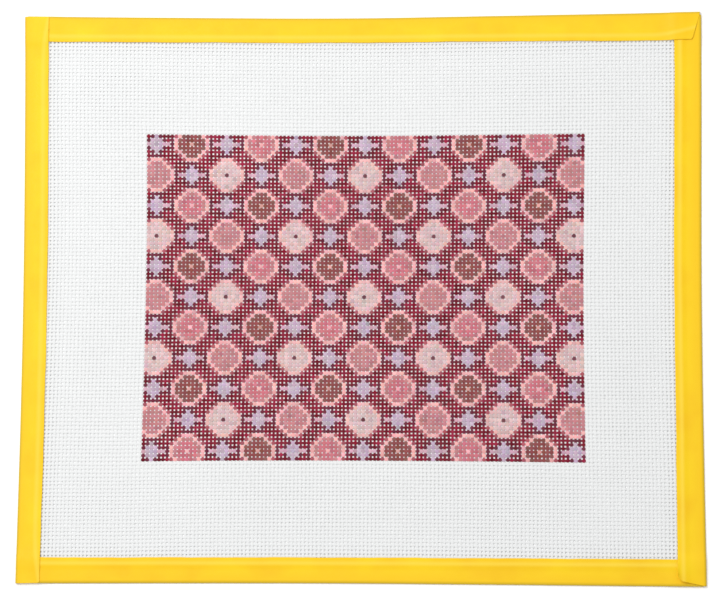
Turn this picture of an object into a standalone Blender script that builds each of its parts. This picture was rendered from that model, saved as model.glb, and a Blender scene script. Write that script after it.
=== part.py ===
# A needlepoint canvas lying flat: a rectangle of open mono canvas with a painted chart, its four
# raw edges bound with strips of yellow cloth tape, each folded in half over the edge.
# Metres. X runs along the long sides, Y towards the upper edge, Z up from the surface it lies on.

from collections import namedtuple
from math import cos, pi, radians, sin, sqrt

import bmesh
import bpy

MM = 0.001

# The overall size over the four corners
LENGTH = 346.9 * MM
WIDTH = 292.9 * MM

# Every layer of cloth is a sheet this thick, with this much air to the next one
LAYER = 1.0 * MM
AIR = 0.3 * MM
STEP = LAYER + AIR

# The tape's fold over the canvas edge, and how far the canvas edge stays inside it
FOLD_RADIUS = 1.6 * MM
EDGE_INSET = 1.6 * MM

# The tape's turned-under hem: where it starts and crests, measured back from the tape's inner edge
HEM_FOOT = 4.4 * MM
HEM_CREST = 3.3 * MM
HEM_LIP = 0.7 * MM
HEM_RISE = 0.25 * MM

# The canvas lies on the surface and climbs one layer to pass over each strip of tape
RAMP = 12.0 * MM
RAMP_STEPS = 4
RAMP_CLEARANCE = 0.5 * MM
MIDDLE_STEPS = 8

# The sides, walked anticlockwise seen from above. Each row is a place along the side, in millimetres
# from its middle: how far the folded edge is drawn in from the overall size, and the tape's width.
Place = namedtuple("Place", "along drawn_in width")
SIDES = {
    "bottom": [
        Place(along=-172, drawn_in=0.2, width=12.8),
        Place(along=-29, drawn_in=0.9, width=12.7),
        Place(along=71, drawn_in=0.6, width=13.0),
        Place(along=173, drawn_in=0.0, width=13.4),
    ],
    "right": [
        Place(along=-146, drawn_in=0.0, width=14.2),
        Place(along=-53, drawn_in=1.2, width=13.5),
        Place(along=13, drawn_in=1.5, width=13.6),
        Place(along=100, drawn_in=0.9, width=13.5),
        Place(along=146, drawn_in=0.7, width=13.6),
    ],
    "top": [
        Place(along=-173, drawn_in=0.0, width=14.4),
        Place(along=-147, drawn_in=0.6, width=14.4),
        Place(along=-70, drawn_in=1.9, width=13.3),
        Place(along=11, drawn_in=3.0, width=12.8),
        Place(along=119, drawn_in=2.2, width=13.0),
        Place(along=173, drawn_in=1.5, width=13.2),
    ],
    "left": [
        Place(along=-145, drawn_in=0.0, width=12.3),
        Place(along=-101, drawn_in=1.0, width=12.0),
        Place(along=-21, drawn_in=2.2, width=12.1),
        Place(along=54, drawn_in=2.5, width=12.0),
        Place(along=146, drawn_in=1.8, width=12.0),
    ],
}
ORDER = ["bottom", "right", "top", "left"]

# How the strips cross. The strip named by over wraps the other one's end. Its own end stops short of
# the other strip's fold by a little, is cut on a slant, has its inner corner rounded and may curl up.
# Millimetres. Each corner is named for the side that the walk reaches there.
Corner = namedtuple("Corner", "over short slant rounding curl")
CORNERS = {
    "right": Corner(over="right", short=0.2, slant=1.3, rounding=4.0, curl=0.8),
    "top": Corner(over="top", short=0.5, slant=4.1, rounding=0.8, curl=0.3),
    "left": Corner(over="left", short=0.0, slant=0.0, rounding=0.5, curl=0.0),
    "bottom": Corner(over="left", short=0.0, slant=0.2, rounding=0.8, curl=0.0),
}

CANVAS_COLOUR = (0.88, 0.88, 0.86, 1.0)
TAPE_COLOUR = (0.95, 0.66, 0.02, 1.0)
CANVAS_ROUGHNESS = 0.85
TAPE_ROUGHNESS = 0.55


def before(side):
    return ORDER[ORDER.index(side) - 1]


def after(side):
    return ORDER[(ORDER.index(side) + 1) % len(ORDER)]


def half_length(side):
    """Half of the overall size along a side."""
    return (LENGTH if side in ("bottom", "top") else WIDTH) / 2


def read(side, along, column):
    """A value from a side's table at any place, on a smooth curve through its rows, in metres."""
    rows = [(place.along * MM, getattr(place, column) * MM) for place in SIDES[side]]
    along = min(max(along, rows[0][0]), rows[-1][0])
    k = next(i for i in range(len(rows) - 1) if along <= rows[i + 1][0])

    def slope(i):
        low, high = rows[max(i - 1, 0)], rows[min(i + 1, len(rows) - 1)]
        return (high[1] - low[1]) / (high[0] - low[0])

    (start, first), (stop, last) = rows[k], rows[k + 1]
    span = stop - start
    t = (along - start) / span
    ease = t * t * (3 - 2 * t)
    bend = t * (1 - t) * ((1 - t) * slope(k) - t * slope(k + 1)) * span
    return first + (last - first) * ease + bend


def reach(side):
    """How far in from the overall size the canvas is lifted onto a side's tape."""
    return max(place.drawn_in + place.width for place in SIDES[side]) * MM + RAMP_CLEARANCE


def rise(side, distance):
    """0 where the canvas lies on the surface, 1 on a side's tape; distance is in from the overall size."""
    t = min(max((reach(side) + RAMP - distance) / RAMP, 0), 1)
    return t * t * (3 - 2 * t)


def stops(side):
    """Places along a side where strips and canvas share their creases, between its two neighbours' tapes."""
    half = half_length(side)
    start, stop = reach(before(side)) - half, half - reach(after(side))
    ramp = [RAMP * k / RAMP_STEPS for k in range(RAMP_STEPS)]
    low, high = start + RAMP, stop - RAMP
    middle = [low + (high - low) * k / MIDDLE_STEPS for k in range(MIDDLE_STEPS + 1)]
    return [start + r for r in ramp] + middle + [stop - r for r in reversed(ramp)]


def height(side, along):
    """The undersides of a strip's lower and upper legs at a place along it."""
    half = half_length(side)
    lower, upper = 0.0, 2 * STEP
    for neighbour, corner, distance in (
        (before(side), CORNERS[side], half + along),
        (after(side), CORNERS[after(side)], half - along),
    ):
        lift = STEP * rise(neighbour, distance)
        if corner.over == side:
            upper += 2 * lift
        else:
            lower += lift
            upper += lift
    return lower, upper


def end_line(side, at_start, inward, width):
    """Where a strip ends, at a distance in from its own fold."""
    neighbour = before(side) if at_start else after(side)
    corner = CORNERS[side if at_start else neighbour]
    half, across = half_length(side), half_length(neighbour)
    own_line = read(side, -half if at_start else half, "drawn_in")
    beside = across - own_line - inward
    line = half - read(neighbour, beside if at_start else -beside, "drawn_in")
    if corner.over != side:
        line -= EDGE_INSET
    else:
        radius = corner.rounding * MM
        past = min(max(inward - (width - radius), 0), radius)
        line -= (corner.short + corner.slant * inward / width) * MM
        line -= radius - sqrt(radius * radius - past * past)
    return -line if at_start else line


def curl(side, at_start, inward, width):
    """How far a strip's end lifts off what it lies on."""
    corner = CORNERS[side if at_start else after(side)]
    return corner.curl * MM * (inward / width) ** 2 if corner.over == side else 0.0


def section(lower, upper, width):
    """The folded tape across its length: (inward, z) along its outer face, then along its inner face."""
    outer = [(width, lower), (width / 2, lower)]
    inner = [(width, lower + LAYER), (width / 2, lower + LAYER)]
    top = upper + LAYER
    for middle, angles in (
        (lower + FOLD_RADIUS, (-90, -45, 0)),
        (top - FOLD_RADIUS, (0, 45, 90)),
    ):
        for angle in map(radians, angles):
            for path, radius in ((outer, FOLD_RADIUS), (inner, FOLD_RADIUS - LAYER)):
                path.append((FOLD_RADIUS - radius * cos(angle), middle + radius * sin(angle)))
    for back, raised in (
        (width / 2, 0.0),
        (HEM_FOOT, 0.0),
        (HEM_CREST, HEM_RISE),
        (HEM_LIP, HEM_RISE / 2),
        (0.0, 0.0),
    ):
        outer.append((width - back, top + raised))
        inner.append((width - back, upper))
    return outer, inner


def ring(side, along, at_end=None):
    """One closed loop of points around a strip, in its own frame: X along it, Y inward, Z up."""
    lower, upper = height(side, along)
    width = read(side, along, "width")
    outer, inner = section(lower, upper, width)
    points = []
    for inward, z in outer + inner[::-1]:
        x = along
        if at_end is not None:
            x = end_line(side, at_end == "start", inward, width)
            z += curl(side, at_end == "start", inward, width) if z >= upper else 0.0
        points.append((x, read(side, x, "drawn_in") + inward, z))
    return points


def material(name, colour, roughness):
    made = bpy.data.materials.new(name)
    made.use_nodes = True
    shader = made.node_tree.nodes["Principled BSDF"]
    shader.inputs["Base Color"].default_value = colour
    shader.inputs["Roughness"].default_value = roughness
    shader.inputs["Metallic"].default_value = 0.0
    return made


def finished(name, mesh, surface, smooth_under):
    """A mesh as a named object at the centre, with its faces turned outwards."""
    bmesh.ops.recalc_face_normals(mesh, faces=mesh.faces)
    data = bpy.data.meshes.new(name)
    mesh.to_mesh(data)
    mesh.free()
    data.shade_smooth()
    data.set_sharp_from_angle(angle=radians(smooth_under))
    data.materials.append(surface)
    made = bpy.data.objects.new(name, data)
    bpy.context.scene.collection.objects.link(made)
    return made


def binding(side, turn, middle):
    """One strip of tape, folded over its side of the canvas."""
    places = stops(side)
    rings = [ring(side, places[0], at_end="start")]
    rings += [ring(side, along) for along in places]
    rings += [ring(side, places[-1], at_end="stop")]
    mesh = bmesh.new()
    loops = [[mesh.verts.new(point) for point in points] for points in rings]
    count = len(loops[0])
    for one, other in zip(loops, loops[1:]):
        for k in range(count):
            following = (k + 1) % count
            mesh.faces.new((one[k], one[following], other[following], other[k]))
    for loop in (loops[0], loops[-1]):
        for k in range(count // 2 - 1):
            mesh.faces.new((loop[k], loop[k + 1], loop[-k - 2], loop[-k - 1]))
    surface = material(f"yellow_tape_{side}", TAPE_COLOUR, TAPE_ROUGHNESS)
    made = finished(f"binding_{side}", mesh, surface, smooth_under=50)
    made.location = middle
    made.rotation_euler.z = turn
    return made


def canvas():
    """The canvas, one sheet from fold to fold, on the surface in the middle and on the tape at its rim."""
    columns = [None, *stops("bottom"), None]
    rows = [None, *stops("right"), None]

    def edge(side, along):
        return half_length(before(side)) - read(side, along, "drawn_in") - EDGE_INSET

    mesh = bmesh.new()
    bmesh.ops.create_grid(mesh, x_segments=len(columns) - 1, y_segments=len(rows) - 1, size=1.0)
    mesh.verts.ensure_lookup_table()
    for number, vertex in enumerate(mesh.verts):
        row, column = divmod(number, len(columns))
        far_x = LENGTH / 2 if column else -LENGTH / 2
        far_y = WIDTH / 2 if row else -WIDTH / 2
        x, y = columns[column], rows[row]
        along_x = far_x if x is None else x
        along_y = far_y if y is None else y
        if x is None:
            x = edge("right", along_y) if column else -edge("left", -along_y)
        if y is None:
            y = edge("top", -along_x) if row else -edge("bottom", along_x)
        layers = rise("left", LENGTH / 2 + x) + rise("right", LENGTH / 2 - x)
        layers += rise("bottom", WIDTH / 2 + y) + rise("top", WIDTH / 2 - y)
        vertex.co = (x, y, STEP * layers)
    sheet = bmesh.ops.extrude_face_region(mesh, geom=mesh.faces[:])
    raised = [part for part in sheet["geom"] if isinstance(part, bmesh.types.BMVert)]
    bmesh.ops.translate(mesh, verts=raised, vec=(0.0, 0.0, LAYER))
    surface = material("mono_canvas", CANVAS_COLOUR, CANVAS_ROUGHNESS)
    return finished("canvas", mesh, surface, smooth_under=30)


for leftover in list(bpy.data.objects):
    bpy.data.objects.remove(leftover, do_unlink=True)

panel = bpy.data.objects.new("panel", None)
bpy.context.scene.collection.objects.link(panel)

pieces = [
    canvas(),
    binding("bottom", turn=0.0, middle=(0.0, -WIDTH / 2, 0.0)),
    binding("right", turn=pi / 2, middle=(LENGTH / 2, 0.0, 0.0)),
    binding("top", turn=pi, middle=(0.0, WIDTH / 2, 0.0)),
    binding("left", turn=-pi / 2, middle=(-LENGTH / 2, 0.0, 0.0)),
]
for piece in pieces:
    piece.parent = panel
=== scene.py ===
# The looks of a needlepoint canvas that lies flat: mono canvas woven thread by thread, the chart
# painted on it, and four strips of yellow cloth tape folded over its edges.
# Lengths are in millimetres until a mesh is made; the finished objects are in metres.

from math import pi, radians

import bpy
import numpy as np
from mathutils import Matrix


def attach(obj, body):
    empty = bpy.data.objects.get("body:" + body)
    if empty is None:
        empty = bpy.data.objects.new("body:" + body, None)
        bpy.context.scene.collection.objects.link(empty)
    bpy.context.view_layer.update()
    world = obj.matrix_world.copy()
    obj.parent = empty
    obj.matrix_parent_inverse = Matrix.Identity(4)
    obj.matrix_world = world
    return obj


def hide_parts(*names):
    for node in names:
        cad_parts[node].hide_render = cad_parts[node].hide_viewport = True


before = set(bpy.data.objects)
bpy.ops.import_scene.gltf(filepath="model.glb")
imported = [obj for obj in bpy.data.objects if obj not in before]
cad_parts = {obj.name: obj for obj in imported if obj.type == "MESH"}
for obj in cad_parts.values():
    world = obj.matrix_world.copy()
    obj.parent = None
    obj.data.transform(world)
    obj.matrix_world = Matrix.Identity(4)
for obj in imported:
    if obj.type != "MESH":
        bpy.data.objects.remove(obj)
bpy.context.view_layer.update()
metresPerMm = 0.001

# The panel lies face up and the view is almost straight down on it, from a little below its middle.
# Its place and turn are rounded from a fit to the mesh in the photo.
view = {
    "focalPixels": 3500,
    "imageWidth": 723,
    "sensorWidth": 36.0,
    "place": (80.27, -279.19, 1744.88),
    "turn": (9.028, 2.538, 0.459),
}

# The folded edges and the tape widths, as the solids have them. The sides are walked anticlockwise.
# Each row: place along the side from its middle, how far the fold is drawn in, the width of the tape.
panel = {
    "length": 346.9,
    "width": 292.9,
    "order": ["bottom", "right", "top", "left"],
    "bottom": [(-172, 0.2, 12.8), (-29, 0.9, 12.7), (71, 0.6, 13.0), (173, 0.0, 13.4)],
    "right": [(-146, 0.0, 14.2), (-53, 1.2, 13.5), (13, 1.5, 13.6), (100, 0.9, 13.5), (146, 0.7, 13.6)],
    "top": [(-173, 0.0, 14.4), (-147, 0.6, 14.4), (-70, 1.9, 13.3), (11, 3.0, 12.8), (119, 2.2, 13.0),
            (173, 1.5, 13.2)],
    "left": [(-145, 0.0, 12.3), (-101, 1.0, 12.0), (-21, 2.2, 12.1), (54, 2.5, 12.0), (146, 1.8, 12.0)],
    # the corner that the walk reaches at each side: which strip is on top, how far its end stops short
    # of the other's fold, how much it is cut on a slant, its rounded inner corner, how it curls, and by
    # how much its hem grows wider there
    "corners": {
        "right": {"over": "right", "short": 0.2, "slant": 2.6, "rounding": 2.8, "curl": 2.9, "grow": 0.0},
        "top": {"over": "top", "short": 0.5, "slant": 4.1, "rounding": 0.8, "curl": 0.2, "grow": 3.6},
        "left": {"over": "left", "short": 0.4, "slant": 0.0, "rounding": 0.5, "curl": 0.0, "grow": -2.9},
        "bottom": {"over": "left", "short": 0.0, "slant": 0.2, "rounding": 0.8, "curl": 0.0, "grow": -2.9},
    },
}


def smoothStep(low, high, value):
    t = np.clip((value - low) / (high - low), 0, 1)
    return t * t * (3 - 2 * t)


def linear(hexColour):
    channels = [int(hexColour[k:k + 2], 16) / 255 for k in (1, 3, 5)]
    return [c / 12.92 if c <= 0.04045 else ((c + 0.055) / 1.055) ** 2.4 for c in channels] + [1.0]


def readSide(side, along, column):
    # a smooth curve through the rows of a side's table
    rows = np.array(panel[side], float)
    places, values = rows[:, 0], rows[:, column]
    last = len(places) - 1
    slopes = np.array([(values[min(i + 1, last)] - values[max(i - 1, 0)])
                       / (places[min(i + 1, last)] - places[max(i - 1, 0)]) for i in range(last + 1)])
    along = np.clip(along, places[0], places[-1])
    k = np.clip(np.searchsorted(places, along) - 1, 0, last - 1)
    span = places[k + 1] - places[k]
    t = (along - places[k]) / span
    bend = t * (1 - t) * ((1 - t) * slopes[k] - t * slopes[k + 1]) * span
    return values[k] + (values[k + 1] - values[k]) * t * t * (3 - 2 * t) + bend


def drawnIn(side, along):
    return readSide(side, along, 1)


def tapeWidth(side, along):
    return readSide(side, along, 2)


def innerEdge(side, along):
    # from the overall rectangle in to where the tape ends and the open canvas starts
    return drawnIn(side, along) + tapeWidth(side, along)


def halfAlong(side):
    return panel["length" if side in ("bottom", "top") else "width"] / 2


def neighbours(side):
    at = panel["order"].index(side)
    return panel["order"][at - 1], panel["order"][(at + 1) % 4]


def toPanel(side, along, inward):
    # from a side's own frame, along it and inward from its line, to the panel's x and y
    across = (panel["width"] if side in ("bottom", "top") else panel["length"]) / 2 - inward
    return {"bottom": (along, -across), "right": (across, along),
            "top": (-along, across), "left": (-across, -along)}[side]


def toSide(side, x, y):
    along = {"bottom": x, "right": y, "top": -x, "left": -y}[side]
    outward = {"bottom": -y, "right": x, "top": y, "left": -x}[side]
    return along, (panel["width"] if side in ("bottom", "top") else panel["length"]) / 2 - outward


def addNode(tree, kind, inputs=None, **settings):
    # an input is given as a plain value or as another node's output
    node = tree.nodes.new(kind)
    for name, value in settings.items():
        setattr(node, name, value)
    for name, value in (inputs or {}).items():
        if isinstance(value, bpy.types.NodeSocket):
            tree.links.new(value, node.inputs[name])
        else:
            node.inputs[name].default_value = value
    return node


def meshPiece(name, points, quads, maps, material, sharpFrom=30):
    # points in millimetres; quads as four numbers a row; maps hold one value pair for each quad corner;
    # edges that bend by more than sharpFrom degrees stay sharp
    mesh = bpy.data.meshes.new(name)
    mesh.vertices.add(len(points))
    mesh.vertices.foreach_set("co", (points * metresPerMm).astype(np.float32).ravel())
    mesh.loops.add(quads.size)
    mesh.loops.foreach_set("vertex_index", quads.astype(np.int32).ravel())
    mesh.polygons.add(len(quads))
    mesh.polygons.foreach_set("loop_start", np.arange(0, quads.size, 4, dtype=np.int32))
    mesh.polygons.foreach_set("loop_total", np.full(len(quads), 4, dtype=np.int32))
    mesh.update(calc_edges=True)
    mesh.polygons.foreach_set("use_smooth", np.ones(len(quads), dtype=bool))
    mesh.set_sharp_from_angle(angle=radians(sharpFrom))
    for mapName, values in maps.items():
        layer = mesh.uv_layers.new(name=mapName)
        layer.uv.foreach_set("vector", values.astype(np.float32).ravel())
    mesh.materials.append(material)
    piece = bpy.data.objects.new(name, mesh)
    bpy.context.scene.collection.objects.link(piece)
    return piece


# The camera comes first
cameraData = bpy.data.cameras.new("viewCamera")
cameraData.sensor_width = view["sensorWidth"]
cameraData.lens = view["focalPixels"] * view["sensorWidth"] / view["imageWidth"]
camera = bpy.data.objects.new("viewCamera", cameraData)
camera.location = [v * metresPerMm for v in view["place"]]
camera.rotation_euler = [radians(v) for v in view["turn"]]
bpy.context.scene.collection.objects.link(camera)
bpy.context.scene.camera = camera
print("camera set")

# Canvas: 13 threads to the inch, one thread over and one under, locked flat by its sizing.
# Threads are numbered from the chart's upper left corner; the tape's inner edges lie at tapeThreads.
canvas = {
    "colour": "#e4e5e5",
    # painted shade: the grey laid into the grooves between the plies
    "grooveShadeColour": "#dbdcdc",
    "greyColour": "#dcdddd",
    "pitch": 1.954,
    "threadWidth": 1.14,    # between crossings; where threads cross they are pressed flatter and wider
    "threadHeight": 0.46,
    "pressedWidth": 1.26,
    "pressedHeight": 0.32,
    "thinSwell": -0.042,    # painted threads against bare ones, as a part of the width: the ground's thin
    "thickSwell": 0.1,      # paint and the motifs' thick one, each set by how open the photo's holes look
    "warps": (-30, 140),
    "wefts": (-28, 113),
    "tapeThreads": {"left": -26.7, "right": 136.4, "top": -25.3, "bottom": 109.7},
    "chartCentre": (1.81, -0.63),
    # the threads lie a little off an even lattice: the millimetres added in x and y for each pair of
    # powers of u and v, which run from -1 to 1 over the chart, rounded from a least squares fit to where
    # the threads lie in the photo
    "pullX": {(0, 0): 0.08, (1, 0): -0.43, (0, 1): 0.43, (1, 1): -0.22, (3, 0): 1.18, (1, 2): 0.51,
              (0, 3): -0.24},
    "pullY": {(0, 0): -0.26, (1, 0): -0.27, (0, 1): -0.68, (3, 0): 0.19, (2, 1): 0.61, (0, 3): 0.82},
    "pullReach": 1.1,
    "climb": 9.0,           # the canvas comes down from the tape's lower leg over this distance
    "wander": 0.045,        # each thread's own offset
    "unevenness": 0.03,     # and what changes from crossing to crossing
    "slubs": 0.05,          # thick and thin places, as a part of the width
    "bands": 4,             # pieces that the weave is cut into
    "sharpFrom": 80,        # a thread's two sides are sharp, so that only its top and bottom are round
    "soaksLeast": 0.85,     # the share of its paint that a crossing's lower faces take, at least
    "soaksMore": 0.12,      # and what they may take more
    "mapShift": 7.0,        # each thread starts at its own place in the thread map, up to this far along
    "patchInset": 0.12,     # the margin of a face's square in the bake map, as a part of its size
    "waves": 0.06,          # slow unevenness of the whole sheet
    "waveReach": 27.0,      # which grows in over this distance from the tape
    "waveTurns": ((1 / 107, 1 / 257), (-1 / 333, 1 / 145)),     # in x and y, for each millimetre
    "seed": 11,
}

# Tape: folded in half over the canvas edge, with its inner edge turned under once
tape = {
    "colour": "#f2cb0a",
    # the deeper colour: random dye patches, and painted shade toward the fold
    "dyeAndFoldShadeColour": "#ebb302",
    # painted highlight: the paler colour along the hem's ridge
    "ridgeHighlightColour": "#f2d143",
    # painted shade: the dark line along the fold
    "foldLineShadeColour": "#ad9b2a",
    "thickness": 0.24,
    "air": 0.03,            # between one layer and the next
    "foldDepth": 1.35,      # the fold's round, from the outer edge in to where the two legs start
    "hem": 3.5,             # turned under along the upper leg's inner edge
    "hemSlope": 3.0,        # where the cloth climbs onto it
    "hemAir": 0.03,
    "crest": 0.05,          # a low ridge along the hem's top
    "crestInset": 0.2,
    "crestWidth": 0.7,
    "ridgeInset": 0.8,      # where a painted highlight runs along the hem's ridge, in from the hem's top
    "steps": {"lower": 6, "fold": 10, "upper": 5, "hem": 15, "lip": 7, "back": 3},
    "drop": 2.8,            # a strip on top comes down from the one under it over this distance,
    "dropFrom": 0.3,        # starting this far past its edge
    "hemLead": (0.8, 0.6),  # and climbs its hem ahead of the hem's foot and of its top
    "edgeInset": 1.6,       # a strip below stops this far short of the other's fold
    "endZone": 27.0,        # where the rows lean over to the cut end
    "waves": 0.06,          # up and down, and in and out along the inner edge
    "edgeWaves": 0.08,
    "waveLengths": (9.0, 17.0, 31.0, 58.0),
    "waveGrowth": 60.0,     # longer waves are higher: half as high at no length, half as much again at this
    "waveSlant": 0.12,      # how far a wave may lean, in radians for each millimetre inward
    "flatWidth": 30.0,
    "middleStations": 150,
    "endStations": 14,
    "sharpFrom": 50,
    "bakeMargin": 0.01,     # the bake map's margin, and how much of the map each face of the cloth takes
    "bakeSize": (0.98, 0.47),
    "seed": 5,
}
tapeStep = tape["thickness"] + tape["air"]
canvasThickness = 2 * canvas["pressedHeight"]


def endInnerEdge(side, nextTo):
    # a side's inner edge at the corner with a neighbour
    sign = 1 if nextTo == neighbours(side)[1] else -1
    return innerEdge(side, sign * halfAlong(side))


def canvasBase(x, y):
    # the canvas's underside: on the floor in the middle, on each strip's lower leg at the rim
    base, middle = 0.0, 1.0
    for side in panel["order"]:
        along, inward = toSide(side, x, y)
        inner = innerEdge(side, along)
        base = base + tapeStep * (1 - smoothStep(inner, inner + canvas["climb"], inward))
        middle = middle * smoothStep(inner, inner + canvas["waveReach"], inward)
    lift = sum(1 + np.sin(2 * pi * (x * turnX + y * turnY)) for turnX, turnY in canvas["waveTurns"])
    return base + canvas["waves"] * middle * lift / 2


# The chart. Stars and roundels stand in turn, 9 threads apart across and 8 down. The letters and the
# paints were corrected against the photo's mean tones over all the repeats.
chart = {
    "columns": 113,
    "rows": 85,
    "first": 2,
    "steps": (9, 8),
    "star": (
        "...ppp...",
        "...pLp...",
        "p.pLLLp.p",
        "pAALLLAAp",
        "p.pLLLp.p",
        "...pLp...",
        "...ppp...",
    ),
    "brown": (
        "..mrrrm..",
        ".mroBorm.",
        "mroBBBorm",
        "roBBbBBor",
        "rBBbvbBBr",
        "roBBbBBor",
        "mroBBBorm",
        ".mroBorm.",
        "..mrrrm..",
    ),
    "rose": (
        "..mrrrm..",
        ".mrDDDrm.",
        "mrDRRRDrm",
        "rDRRRRRDr",
        "rDRRwRRDr",
        "rDRRRRRDr",
        "mrDRRRDrm",
        ".mrDDDrm.",
        "..mrrrm..",
    ),
    "dusty": (
        "..mrrrm..",
        ".mrDDDrm.",
        "mrDDDDDrm",
        "rDDDDDDDr",
        "rDDDDDDDr",
        "rDDDDDDDr",
        "mrDDDDDrm",
        ".mrDDDrm.",
        "..mrrrm..",
    ),
    "pale": (
        "..mqqqm..",
        ".mqPPPqm.",
        "mqPPPPPqm",
        "qPPPPPPPq",
        "qPPPdPPPq",
        "qPPPPPPPq",
        "mqPPPPPqm",
        ".mqPPPqm.",
        "..mqqqm..",
    ),
    "paints": {
        "g": "#7f162c", "h": "#6a1223", "i": "#8e1f3b",      # the three maroons of the ground
        "m": "#a0515c",                                     # where a ring's outer edge steps
        "p": "#6b283b", "L": "#b9a2b6", "A": "#c59aab",
        "r": "#e6a8a9", "q": "#deabaa", "P": "#cfafb0", "d": "#6c3e48",
        "B": "#884648", "o": "#82534f", "b": "#84473f", "v": "#cf9793",
        "R": "#bf6d78", "D": "#b8797e", "w": "#e6a6aa",
    },
    "shade": 0.08,          # how much one painted crossing differs from the next, in lightness
    "tint": 0.035,          # and in hue
    "missed": 0.02,         # the share of a crossing that the brush may leave bare
    "grounds": "gghi",
    "thinPaints": "ghimp",
}


def chartLetters(random):
    rows, columns = chart["rows"], chart["columns"]
    letters = random.choice(list(chart["grounds"]), (rows, columns))
    stepX, stepY = chart["steps"]
    for j in range(-1, rows // stepY + 1):
        for i in range(-1, columns // stepX + 2):
            turn = (i + (j // 2) * 2) % 4
            if (i + j) % 2 == 0:
                kind = "star"
            elif j % 2 == 0:
                kind = "brown" if turn == 1 else "rose"
            else:
                kind = "dusty" if turn == 0 else "pale"
            motif = chart[kind]
            for dy, line in enumerate(motif, -(len(motif) // 2)):
                for dx, letter in enumerate(line, -(len(line) // 2)):
                    x, y = chart["first"] + stepX * i + dx, chart["first"] + stepY * j + dy
                    if letter != "." and 0 <= x < columns and 0 <= y < rows:
                        letters[y, x] = letter
    return letters


def paintedCrossings(random):
    # a colour, a cover of paint and what it swells for every crossing, chart and bare canvas alike
    warpCount = canvas["warps"][1] - canvas["warps"][0]
    weftCount = canvas["wefts"][1] - canvas["wefts"][0]
    colours = np.ones((weftCount, warpCount, 4))
    cover, swell = np.zeros((weftCount, warpCount)), np.zeros((weftCount, warpCount))
    letters = chartLetters(random)
    top, left = -canvas["wefts"][0], -canvas["warps"][0]
    block = (slice(top, top + chart["rows"]), slice(left, left + chart["columns"]))
    painted = np.ones((chart["rows"], chart["columns"], 4))
    for letter, colour in chart["paints"].items():
        painted[letters == letter] = linear(colour)
    painted[..., :3] *= (1 + chart["shade"] * random.standard_normal((*painted.shape[:2], 1))
                         + chart["tint"] * random.standard_normal((*painted.shape[:2], 3)))
    colours[block] = np.clip(painted, 0, 1)
    cover[block] = 1.0 - chart["missed"] * random.random(painted.shape[:2])
    thin = np.isin(letters, list(chart["thinPaints"]))
    swell[block] = np.where(thin, canvas["thinSwell"], canvas["thickSwell"])
    return colours, cover, swell


def latticePlace(column, row):
    # the lattice is stretched between the tape's inner edges, so its threads run along with them
    middleColumn, middleRow = (chart["columns"] - 1) / 2, (chart["rows"] - 1) / 2
    x = canvas["chartCentre"][0] + (column - middleColumn) * canvas["pitch"]
    y = canvas["chartCentre"][1] - (row - middleRow) * canvas["pitch"]
    at = canvas["tapeThreads"]
    left, right = -panel["length"] / 2 + innerEdge("left", -y), panel["length"] / 2 - innerEdge("right", y)
    low, high = -panel["width"] / 2 + innerEdge("bottom", x), panel["width"] / 2 - innerEdge("top", -x)
    u = np.clip((column - middleColumn) / middleColumn, -canvas["pullReach"], canvas["pullReach"])
    v = np.clip((middleRow - row) / middleRow, -canvas["pullReach"], canvas["pullReach"])
    pullX, pullY = (sum(size * u ** powerU * v ** powerV for (powerU, powerV), size in canvas[name].items())
                    for name in ("pullX", "pullY"))
    return (left + (right - left) * (column - at["left"]) / (at["right"] - at["left"]) + pullX,
            high + (low - high) * (row - at["top"]) / (at["bottom"] - at["top"]) + pullY)


def threadTubes(centres, sideways, widths, heights):
    # four-sided tubes through rows of centres, shaded round: the points, the quads of the walls by thread
    # and segment, and the quads that close the two ends
    count, rings = centres.shape[:2]
    points = np.repeat(centres[:, :, None, :], 4, axis=2)
    points[:, :, 0, 2] += heights / 2
    points[:, :, 2, 2] -= heights / 2
    points[:, :, 1, sideways] += widths / 2
    points[:, :, 3, sideways] -= widths / 2
    first = (np.arange(count)[:, None] * rings + np.arange(rings)[None, :]) * 4
    here, there = first[:, :-1, None], first[:, 1:, None]
    k = np.arange(4)
    following = (k + 1) % 4
    walls = np.stack([here + k, there + k, there + following, here + following], axis=-1)
    starts, ends = first[:, :1] + k, first[:, -1:] + k[::-1]
    return points.reshape(-1, 3), walls, starts, ends


def threadSet(kind, random, swell):
    # the centres, widths and heights of all warps or all wefts, at half steps: on the crossings and
    # midway between them
    warp = kind == "warp"
    warps, wefts = np.arange(*canvas["warps"]), np.arange(*canvas["wefts"])
    halfColumns = np.arange(2 * len(warps) + 1) / 2 + warps[0] - 0.5
    halfRows = np.arange(2 * len(wefts) + 1) / 2 + wefts[0] - 0.5
    columns, rows = (warps, halfRows) if warp else (halfColumns, wefts)
    column, row = np.meshgrid(columns.astype(float), rows.astype(float), indexing="xy")
    x, y = latticePlace(column, row)
    wander = canvas["wander"] * random.standard_normal(x.shape[1 if warp else 0])
    wander = wander[None, :] if warp else wander[:, None]
    wander = wander + canvas["unevenness"] * random.standard_normal(x.shape)
    x, y = (x + wander, y) if warp else (x, y + wander)
    onCrossing = np.round((row if warp else column) * 2) % 2 == 0
    over = np.where((np.round(column) + np.round(row)) % 2 == 0, 1.0, -1.0)
    over = over if warp else -over
    pressed = canvas["pressedHeight"]
    z = canvasBase(x, y) + pressed + np.where(onCrossing, over * pressed / 2, 0.0)
    thick = 1 + canvas["slubs"] * random.standard_normal(x.shape)
    nearColumn = np.clip(np.floor(column - warps[0] + 0.5).astype(int), 0, len(warps) - 1)
    nearRow = np.clip(np.floor(row - wefts[0] + 0.5).astype(int), 0, len(wefts) - 1)
    thick = thick + swell[nearRow, nearColumn]
    widths = np.where(onCrossing, canvas["pressedWidth"], canvas["threadWidth"]) * thick
    heights = np.where(onCrossing, pressed, canvas["threadHeight"])
    return np.stack([x, y, z], axis=-1), widths, heights


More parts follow.
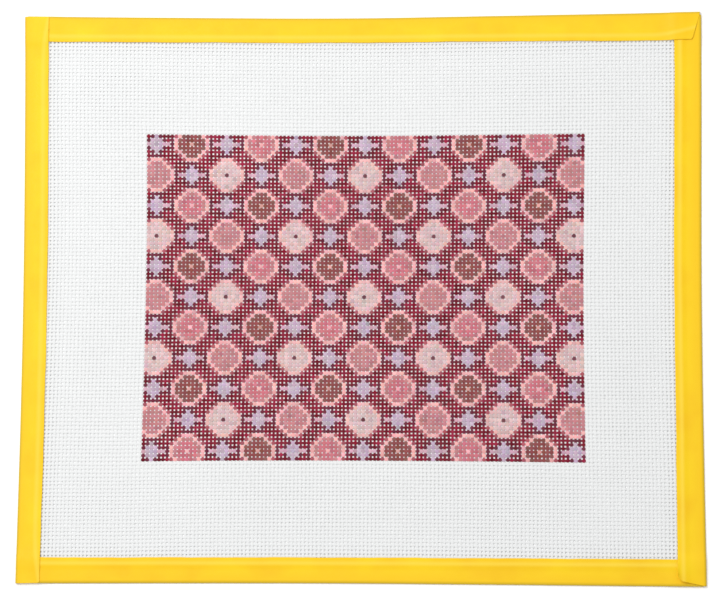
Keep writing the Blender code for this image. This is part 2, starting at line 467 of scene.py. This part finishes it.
def cutToBand(kind, threads, colours, cover, start, stop):
    # what lies between two rows of crossings, one thread a row: warps are cut across, wefts picked out
    if kind == "weft":
        return [grid[start:stop] for grid in (*threads, colours, cover)]
    rings = slice(2 * start, 2 * stop + 1)
    grids = [grid[rings] for grid in threads] + [colours[start:stop], cover[start:stop]]
    return [grid.swapaxes(0, 1) for grid in grids]


def threadMap(random, threads, segments):
    # how far along the thread in millimetres, and how far around it, for each quad corner
    length = np.linspace(0, segments / 2 * canvas["pitch"], segments + 1)
    length = length[None, :] + random.random(threads)[:, None] * canvas["mapShift"]
    here, there = length[:, :-1], length[:, 1:]
    k = np.arange(4)
    corner = np.zeros((threads, segments, 4, 4, 2))
    corner[..., 0] = np.stack([here, there, there, here], axis=-1)[:, :, None, :]
    corner[..., 1] = np.stack([k, k, k + 1, k + 1], axis=-1) / 4
    return corner


def facePatches(count):
    # a small square of its own for every face, so that the paint of one thread stays off the next
    across = int(np.ceil(np.sqrt(count)))
    numbers = np.arange(count)
    corner = np.stack([numbers % across, numbers // across], axis=-1) / across
    low, high = canvas["patchInset"], 1 - canvas["patchInset"]
    square = np.array([(low, low), (high, low), (high, high), (low, high)])
    return corner[:, None, :] + square[None, :, :] / across


def wovenBand(name, sets, colours, cover, start, stop, random, material):
    gathered = {"points": [], "quads": [], "paint": [], "cover": [], "thread": []}
    offset = 0
    for kind, threads in sets.items():
        centres, widths, heights, paint, covered = cutToBand(kind, threads, colours, cover, start, stop)
        points, walls, starts, ends = threadTubes(centres, 0 if kind == "warp" else 1, widths, heights)
        # each crossing owns the two segments around it; the lower faces take what soaks through
        paint = np.repeat(paint, 2, axis=1)[:, :, None, :].repeat(4, axis=2)
        covered = np.repeat(covered, 2, axis=1)[:, :, None].repeat(4, axis=2)
        soaked = canvas["soaksLeast"] + canvas["soaksMore"] * random.random(covered.shape)
        lower = np.array([False, True, True, False])
        covered = np.where(lower, covered * soaked, covered)
        corner = threadMap(random, *walls.shape[:2])
        gathered["points"].append(points)
        gathered["quads"] += [walls.reshape(-1, 4) + offset, starts + offset, ends + offset]
        gathered["paint"] += [paint.reshape(-1, 4), paint[:, 0, 0], paint[:, -1, 0]]
        gathered["cover"] += [covered.ravel(), covered[:, 0, 0], covered[:, -1, 0]]
        gathered["thread"] += [corner.reshape(-1, 4, 2), np.zeros((2 * len(walls), 4, 2))]
        offset += len(points)
    joined = {part: np.concatenate(grids) for part, grids in gathered.items()}
    maps = {"thread": joined["thread"], "OFBake": facePatches(len(joined["quads"]))}
    piece = meshPiece(name, joined["points"], joined["quads"], maps, material, canvas["sharpFrom"])
    piece.data.attributes.new("paint", "FLOAT_COLOR", "FACE").data.foreach_set(
        "color", joined["paint"].astype(np.float32).ravel())
    piece.data.attributes.new("cover", "FLOAT", "FACE").data.foreach_set(
        "value", joined["cover"].astype(np.float32))
    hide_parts("canvas")
    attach(piece, "root")
    print("woven:", piece.name, len(joined["quads"]) * 2, "triangles")


def wovenCanvas(material):
    random = np.random.default_rng(canvas["seed"])
    colours, cover, swell = paintedCrossings(random)
    sets = {kind: threadSet(kind, random, swell) for kind in ("warp", "weft")}
    bounds = np.linspace(0, len(cover), canvas["bands"] + 1).round().astype(int)
    for number, (start, stop) in enumerate(zip(bounds, bounds[1:]), 1):
        wovenBand(f"canvas_weave_{number}", sets, colours, cover, start, stop, random, material)


def paintedCottonCanvas():
    # Sized cotton mono canvas: plied cotton thread, stiff and matt, a cool white with painted shade, a
    # little grey, in the grooves between its plies. The chart is matt acrylic brushed on: a thin film
    # that dulls the ply and lies uneven.
    made = bpy.data.materials.new("sizedCottonCanvasWithAcrylic")
    made.use_nodes = True
    tree = made.node_tree
    shader = tree.nodes["Principled BSDF"]
    plyLay, plyStrands = 1.1, 3      # real lay is about 0.6 mm, drawn coarser to show
    fibreSize, patchSize = 0.35, 14
    place = addNode(tree, "ShaderNodeTexCoord").outputs["Object"]
    paint = addNode(tree, "ShaderNodeAttribute", attribute_name="paint").outputs["Color"]
    cover = addNode(tree, "ShaderNodeAttribute", attribute_name="cover").outputs["Fac"]
    thread = addNode(tree, "ShaderNodeUVMap", uv_map="thread").outputs["UV"]
    parts = addNode(tree, "ShaderNodeSeparateXYZ", {0: thread}).outputs
    fibres = addNode(tree, "ShaderNodeTexNoise", {"Vector": place, "Scale": 1000 / fibreSize,
                                                  "Detail": 3.0})
    patches = addNode(tree, "ShaderNodeTexNoise", {"Vector": place, "Scale": 1000 / patchSize,
                                                   "Detail": 2.0})
    turns = addNode(tree, "ShaderNodeMath", {0: parts[0], 1: 1 / plyLay}, operation="MULTIPLY")
    around = addNode(tree, "ShaderNodeMath", {0: parts[1], 1: plyStrands, 2: turns.outputs[0]},
                     operation="MULTIPLY_ADD")
    angle = addNode(tree, "ShaderNodeMath", {0: around.outputs[0], 1: 2 * pi}, operation="MULTIPLY")
    ply = addNode(tree, "ShaderNodeMath", {0: angle.outputs[0]}, operation="SINE")
    # painted shade: the grooves between the plies are coloured grey
    grooveShade = addNode(tree, "ShaderNodeMapRange", {0: ply.outputs[0], 1: -1.0, 2: 0.2, 3: 1.0, 4: 0.0})
    bare = addNode(tree, "ShaderNodeMix", {0: grooveShade.outputs[0], 6: linear(canvas["colour"]),
                                           7: linear(canvas["grooveShadeColour"])}, data_type="RGBA")
    grey = addNode(tree, "ShaderNodeMapRange", {0: patches.outputs["Fac"], 1: 0.35, 2: 0.75,
                                                3: 0.0, 4: 0.35})
    cloth = addNode(tree, "ShaderNodeMix", {0: grey.outputs[0], 6: bare.outputs[2],
                                            7: linear(canvas["greyColour"])}, data_type="RGBA")
    mottle = addNode(tree, "ShaderNodeMapRange", {0: fibres.outputs["Fac"], 1: 0.3, 2: 0.7,
                                                  3: 0.88, 4: 1.1})
    film = addNode(tree, "ShaderNodeMix", {0: 1.0, 6: paint, 7: mottle.outputs[0]},
                   data_type="RGBA", blend_type="MULTIPLY")
    thin = addNode(tree, "ShaderNodeMapRange", {0: fibres.outputs["Fac"], 1: 0.55, 2: 0.8, 3: 1.0, 4: 0.97})
    laid = addNode(tree, "ShaderNodeMath", {0: cover, 1: thin.outputs[0]}, operation="MULTIPLY")
    colour = addNode(tree, "ShaderNodeMix", {0: laid.outputs[0], 6: cloth.outputs[2], 7: film.outputs[2]},
                     data_type="RGBA")
    rough = addNode(tree, "ShaderNodeMapRange", {0: laid.outputs[0], 1: 0.0, 2: 1.0, 3: 0.86, 4: 0.68})
    relief = addNode(tree, "ShaderNodeMath", {0: ply.outputs[0], 1: 0.5, 2: fibres.outputs["Fac"]},
                     operation="MULTIPLY_ADD")
    bump = addNode(tree, "ShaderNodeBump", {"Strength": 0.35, "Distance": 0.00006,
                                            "Height": relief.outputs[0]})
    tree.links.new(colour.outputs[2], shader.inputs["Base Color"])
    tree.links.new(rough.outputs[0], shader.inputs["Roughness"])
    tree.links.new(bump.outputs[0], shader.inputs["Normal"])
    shader.inputs["Sheen Weight"].default_value = 0.02
    shader.inputs["Sheen Roughness"].default_value = 0.6
    shader.inputs["Specular IOR Level"].default_value = 0.05
    return made


def tapeHeights(side, along):
    # the undersides of a strip's lower and upper legs, as it goes under one neighbour or over the other
    half = halfAlong(side)
    lower = np.zeros_like(along)
    upper = lower + tapeStep + canvasThickness + tape["air"]
    for neighbour, distance in zip(neighbours(side), (half + along, half - along)):
        corner = panel["corners"][side if neighbour == neighbours(side)[0] else neighbour]
        inner = endInnerEdge(neighbour, side)
        soft = tapeStep * (1 - smoothStep(inner, inner + canvas["climb"], distance))
        if corner["over"] == side:
            edge, hemTop = inner + tape["dropFrom"], inner - tape["hem"]
            beforeFoot, beforeTop = tape["hemLead"]
            short = 1 - smoothStep(edge, edge + tape["drop"], distance)
            hem = smoothStep(hemTop - tape["hemSlope"] - beforeFoot, hemTop - beforeTop, distance)
            hemHigh = tape["thickness"] + tape["crest"] + tape["air"]
            upper = upper + soft + short * (tapeStep + hemHigh * hem)
        else:
            lower = lower + soft
            upper = upper + soft
    return lower, upper


def endLine(side, atStart, inward, width):
    # where a strip ends, at a distance in from its own fold
    neighbour = neighbours(side)[0 if atStart else 1]
    corner = panel["corners"][side if atStart else neighbour]
    half, across = halfAlong(side), halfAlong(neighbour)
    beside = across - drawnIn(side, -half if atStart else half) - inward
    line = half - drawnIn(neighbour, beside if atStart else -beside)
    if corner["over"] == side:
        radius = corner["rounding"]
        past = np.clip(inward - (width - radius), 0, radius)
        line = line - corner["short"] - corner["slant"] * inward / width
        line = line - radius + np.sqrt(radius * radius - past * past)
    else:
        line = line - tape["edgeInset"]
    return -line if atStart else line


def tapePath(width, hem):
    # the tape's middle line across its length, from the lower leg's edge around the fold to the hem's
    # turned-under edge: inward place, level (0 lower leg, 1 upper leg), what is added to the height, and
    # how far it lies from the hem's ridge
    thickness, fold, steps = tape["thickness"], tape["foldDepth"], tape["steps"]
    hemStep = thickness + tape["hemAir"]
    bend = hemStep / 2
    foot, top = width - hem - tape["hemSlope"], width - hem
    turn = np.linspace(-pi / 2, pi / 2, steps["fold"])
    climb = np.linspace(foot, width - bend, steps["hem"])
    crest = tape["crest"] * np.exp(-((climb - top - tape["crestInset"]) / tape["crestWidth"]) ** 2)
    lip = np.linspace(pi / 2, -pi / 2, steps["lip"] + 1)[1:]
    stretches = [
        (np.linspace(width, fold, steps["lower"] + 1)[:-1], 0.0, 0.0),
        (fold - (fold - thickness / 2) * np.cos(turn), (1 + np.sin(turn)) / 2, 0.0),
        (np.linspace(fold, foot, steps["upper"] + 2)[1:-1], 1.0, 0.0),
        (climb, 1.0, hemStep * smoothStep(foot, top, climb) + crest),
        (width - bend + bend * np.cos(lip), 1.0, hemStep - bend + bend * np.sin(lip)),
        (np.linspace(width - bend, top, steps["back"] + 1)[1:], 1.0, 0.0),
    ]
    inward, level, added = (np.concatenate([np.broadcast_to(stretch[k], stretch[0].shape)
                                            for stretch in stretches]) for k in range(3))
    ridge = np.where(level == 1, inward - top - tape["ridgeInset"], -width)
    return inward, level, added, ridge


def tapeWaves(random, along, inward, size):
    # slow uneven waves, as cloth that was pressed down by hand has them
    total = np.zeros_like(along)
    for wavelength in tape["waveLengths"]:
        phase = random.random() * 2 * pi
        slant = random.uniform(-tape["waveSlant"], tape["waveSlant"])
        height = 0.5 + wavelength / tape["waveGrowth"]
        total += np.sin(2 * pi * along / wavelength + phase + slant * inward) * height
    return size * total / 2


def tapeRows(side):
    # the middle line at every station; in an end zone it leans over gradually to the strip's cut end
    half, zone = halfAlong(side), tape["endZone"]
    part = np.linspace(0, 1, tape["endStations"] + 1)[1:]
    stations = [(-half + zone, True, share) for share in part[::-1]]
    middle = np.linspace(-half + zone, half - zone, tape["middleStations"])
    stations += [(along, None, 0.0) for along in middle]
    stations += [(half - zone, False, share) for share in part]
    rows = []
    for along, atStart, share in stations:
        width = float(tapeWidth(side, along + share * zone * (-1 if atStart else 1)))
        corner = panel["corners"][side if atStart else neighbours(side)[1]]
        over = atStart is not None and corner["over"] == side
        grow = corner["grow"] * share ** 2 if over else 0
        inward, level, added, ridge = tapePath(width, tape["hem"] + grow)
        x = np.full_like(inward, along)
        if atStart is not None:
            x = along + (endLine(side, atStart, inward, width) - along) * share
        curl = corner["curl"] * (inward / width) ** 2 * share ** 5 * level if over else 0.0
        lower, upper = tapeHeights(side, x)
        z = tape["thickness"] / 2 + lower + (upper - lower) * level + added + curl
        rows.append(np.stack([x, inward, z, level, inward / width, ridge], axis=-1))
    return np.moveaxis(np.array(rows), -1, 0)


def tapeQuads(count, around):
    # the faces from ring to ring, and the strip's two cut ends
    index = np.arange(count * around).reshape(count, around)
    following = np.roll(index, -1, axis=1)
    walls = np.stack([index[1:], following[1:], following[:-1], index[:-1]], axis=-1).reshape(-1, 4)
    face, back = index[:, :around // 2], index[:, :around // 2 - 1:-1]
    caps = [np.stack([face[row, 1:], back[row, 1:], back[row, :-1], face[row, :-1]], axis=-1)[:, ::turn]
            for row, turn in ((0, 1), (-1, -1))]
    return np.concatenate([walls, *caps])


def tapeMaps(ringX, y, z, quads):
    # the tape map: along the strip, and across the cloth from the fold, in millimetres
    steps = np.hypot(np.diff(y, axis=1), np.diff(z, axis=1))
    across = np.concatenate([np.zeros((len(y), 1)), np.cumsum(steps, axis=1)], axis=1)
    tip = tape["steps"]["lower"] + tape["steps"]["fold"] // 2
    across = across - across[:, tip:tip + 1]
    places = np.stack([ringX, np.concatenate([across, across[:, ::-1]], axis=1)], axis=-1)
    # the bake map: the same, with the outer face in the lower half and the inner one in the upper half
    low, high = places.reshape(-1, 2).min(axis=0), places.reshape(-1, 2).max(axis=0)
    baked = tape["bakeMargin"] + (places - low) / (high - low) * tape["bakeSize"]
    baked[:, y.shape[1]:, 1] += 0.5
    return {"tape": places.reshape(-1, 2)[quads], "OFBake": baked.reshape(-1, 2)[quads]}


def foldedTape(side, material):
    random = np.random.default_rng(tape["seed"] + panel["order"].index(side))
    x, inward, z, level, across, ridge = tapeRows(side)
    z = z + level * (tapeWaves(random, x, inward, tape["waves"]) + tape["waves"])
    inward = inward + across ** 3 * tapeWaves(random, x, 0 * inward, tape["edgeWaves"])
    y = drawnIn(side, x) + inward
    # both faces of the cloth lie square to the middle line; a ring runs along one and back on the other
    stepY, stepZ = np.gradient(y, axis=1), np.gradient(z, axis=1)
    size = np.hypot(stepY, stepZ) / (tape["thickness"] / 2)
    outY, outZ = -stepZ / size, stepY / size
    ringX, ringY, ringZ, ringRidge = (np.concatenate([one, other[:, ::-1]], axis=1) for one, other in (
        (x, x), (y + outY, y - outY), (z + outZ, z - outZ), (ridge, ridge)))
    panelX, panelY = toPanel(side, ringX, ringY)
    points = np.stack([panelX, panelY, ringZ], axis=-1)
    quads = tapeQuads(*points.shape[:2])
    piece = meshPiece(f"tape_{side}", points.reshape(-1, 3), quads, tapeMaps(ringX, y, z, quads), material,
                      tape["sharpFrom"])
    piece.data.attributes.new("ridge", "FLOAT", "POINT").data.foreach_set(
        "value", ringRidge.astype(np.float32).ravel())
    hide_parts(f"binding_{side}")
    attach(piece, "root")
    print("folded:", piece.name, len(quads) * 2, "triangles")


def wovenCottonTape():
    # Cotton sateen tape, woven flat and dyed golden yellow: a soft sheen along its length, fine ribs across
    # it with painted light and shade on them, a deeper tone in random dye patches, painted shade toward the
    # fold and a darker painted shade line along it, and a painted highlight along the hem's ridge.
    made = bpy.data.materials.new("sateenWovenCottonTape")
    made.use_nodes = True
    tree = made.node_tree
    shader = tree.nodes["Principled BSDF"]
    rib = 0.9                       # real yarns are 0.4 mm apart, drawn coarser to show
    fibreSize, patchSize = 0.5, 22
    place = addNode(tree, "ShaderNodeTexCoord").outputs["Object"]
    cloth = addNode(tree, "ShaderNodeUVMap", uv_map="tape").outputs["UV"]
    parts = addNode(tree, "ShaderNodeSeparateXYZ", {0: cloth}).outputs
    patches = addNode(tree, "ShaderNodeTexNoise", {"Vector": place, "Scale": 1000 / patchSize,
                                                   "Detail": 3.0})
    fibres = addNode(tree, "ShaderNodeTexNoise", {"Vector": place, "Scale": 1000 / fibreSize,
                                                  "Detail": 2.0})
    sines = []
    for part in (parts[0], parts[1]):
        angle = addNode(tree, "ShaderNodeMath", {0: part, 1: 2 * pi / rib}, operation="MULTIPLY")
        sines.append(addNode(tree, "ShaderNodeMath", {0: angle.outputs[0]}, operation="SINE").outputs[0])
    weave = addNode(tree, "ShaderNodeMath", {0: sines[0], 1: sines[1]}, operation="MULTIPLY")
    ridge = addNode(tree, "ShaderNodeAttribute", attribute_name="ridge").outputs["Fac"]
    ridgeOff = addNode(tree, "ShaderNodeMath", {0: ridge}, operation="ABSOLUTE")
    # painted highlight: paler along the hem's ridge
    ridgeHighlight = addNode(tree, "ShaderNodeMapRange", {0: ridgeOff.outputs[0], 1: 0.2, 2: 1.6, 3: 0.6, 4: 0.0})
    foldOff = addNode(tree, "ShaderNodeMath", {0: parts[1]}, operation="ABSOLUTE")
    # painted shade: the colour deepens toward the fold
    nearFoldShade = addNode(tree, "ShaderNodeMapRange", {0: foldOff.outputs[0], 1: 1.0, 2: 9.0, 3: 0.5, 4: 0.0})
    # painted shade: a darker line right along the fold
    foldLineShade = addNode(tree, "ShaderNodeMapRange", {0: foldOff.outputs[0], 1: 0.3, 2: 1.6, 3: 0.55, 4: 0.0})
    dye = addNode(tree, "ShaderNodeMapRange", {0: patches.outputs["Fac"], 1: 0.3, 2: 0.7, 3: 0.0, 4: 0.6})
    dyeAndFoldShade = addNode(tree, "ShaderNodeMath", {0: dye.outputs[0], 1: nearFoldShade.outputs[0]}, operation="MAXIMUM")
    body = addNode(tree, "ShaderNodeMix", {0: dyeAndFoldShade.outputs[0], 6: linear(tape["colour"]),
                                           7: linear(tape["dyeAndFoldShadeColour"])}, data_type="RGBA")
    pale = addNode(tree, "ShaderNodeMix", {0: ridgeHighlight.outputs[0], 6: body.outputs[2],
                                           7: linear(tape["ridgeHighlightColour"])}, data_type="RGBA")
    foldLineShaded = addNode(tree, "ShaderNodeMix", {0: foldLineShade.outputs[0], 6: pale.outputs[2],
                                           7: linear(tape["foldLineShadeColour"])}, data_type="RGBA")
    # painted light and shade of the weave: lighter on the yarn crests, darker in the dips
    ribLightAndShade = addNode(tree, "ShaderNodeMapRange", {0: weave.outputs[0], 1: -1.0, 2: 1.0, 3: 0.96, 4: 1.02})
    colour = addNode(tree, "ShaderNodeMix", {0: 1.0, 6: foldLineShaded.outputs[2], 7: ribLightAndShade.outputs[0]},
                     data_type="RGBA", blend_type="MULTIPLY")
    rough = addNode(tree, "ShaderNodeMapRange", {0: fibres.outputs["Fac"], 1: 0.3, 2: 0.7, 3: 0.5, 4: 0.62})
    relief = addNode(tree, "ShaderNodeMath", {0: weave.outputs[0], 1: 0.6, 2: fibres.outputs["Fac"]},
                     operation="MULTIPLY_ADD")
    bump = addNode(tree, "ShaderNodeBump", {"Strength": 0.25, "Distance": 0.00008,
                                            "Height": relief.outputs[0]})
    tree.links.new(colour.outputs[2], shader.inputs["Base Color"])
    tree.links.new(rough.outputs[0], shader.inputs["Roughness"])
    tree.links.new(bump.outputs[0], shader.inputs["Normal"])
    shader.inputs["Sheen Weight"].default_value = 0.02
    shader.inputs["Specular IOR Level"].default_value = 0.27
    return made


wovenCanvas(paintedCottonCanvas())
tapeMaterial = wovenCottonTape()
for tapedSide in panel["order"]:
    foldedTape(tapedSide, tapeMaterial)

# A pale table top, and soft light from all around with a little more from the upper left
studio = {
    "floorSize": 3.0,
    "floorColour": "#fbfbfb",
    "around": 0.68,
    "lamps": [
        {"place": (-0.45, 0.42, 1.2), "size": 1.0, "power": 12.4},
    ],
}


def studioFloor():
    half = studio["floorSize"] / 2 / metresPerMm
    corners = np.array([(-half, -half, 0), (half, -half, 0), (half, half, 0), (-half, half, 0)], float)
    paper = bpy.data.materials.new("mattWhitePaper")
    paper.use_nodes = True
    shader = paper.node_tree.nodes["Principled BSDF"]
    shader.inputs["Base Color"].default_value = linear(studio["floorColour"])
    shader.inputs["Roughness"].default_value = 0.9
    shader.inputs["Specular IOR Level"].default_value = 0.1
    meshPiece("studio_floor", corners, np.array([[0, 1, 2, 3]]), {}, paper)


def studioLight():
    world = bpy.data.worlds.new("softRoom")
    bpy.context.scene.world = world
    world.use_nodes = True
    world.node_tree.nodes["Background"].inputs["Color"].default_value = (1.0, 1.0, 1.0, 1.0)
    world.node_tree.nodes["Background"].inputs["Strength"].default_value = studio["around"]
    for number, lamp in enumerate(studio["lamps"]):
        data = bpy.data.lights.new(f"softLamp{number}", "AREA")
        data.shape = "DISK"
        data.size = lamp["size"]
        data.energy = lamp["power"]
        made = bpy.data.objects.new(data.name, data)
        made.location = lamp["place"]
        aim = -made.location.normalized()
        made.rotation_euler = aim.to_track_quat("-Z", "Y").to_euler()
        bpy.context.scene.collection.objects.link(made)


studioFloor()
studioLight()
bpy.context.scene.view_settings.view_transform = "Standard"
print("studio set")
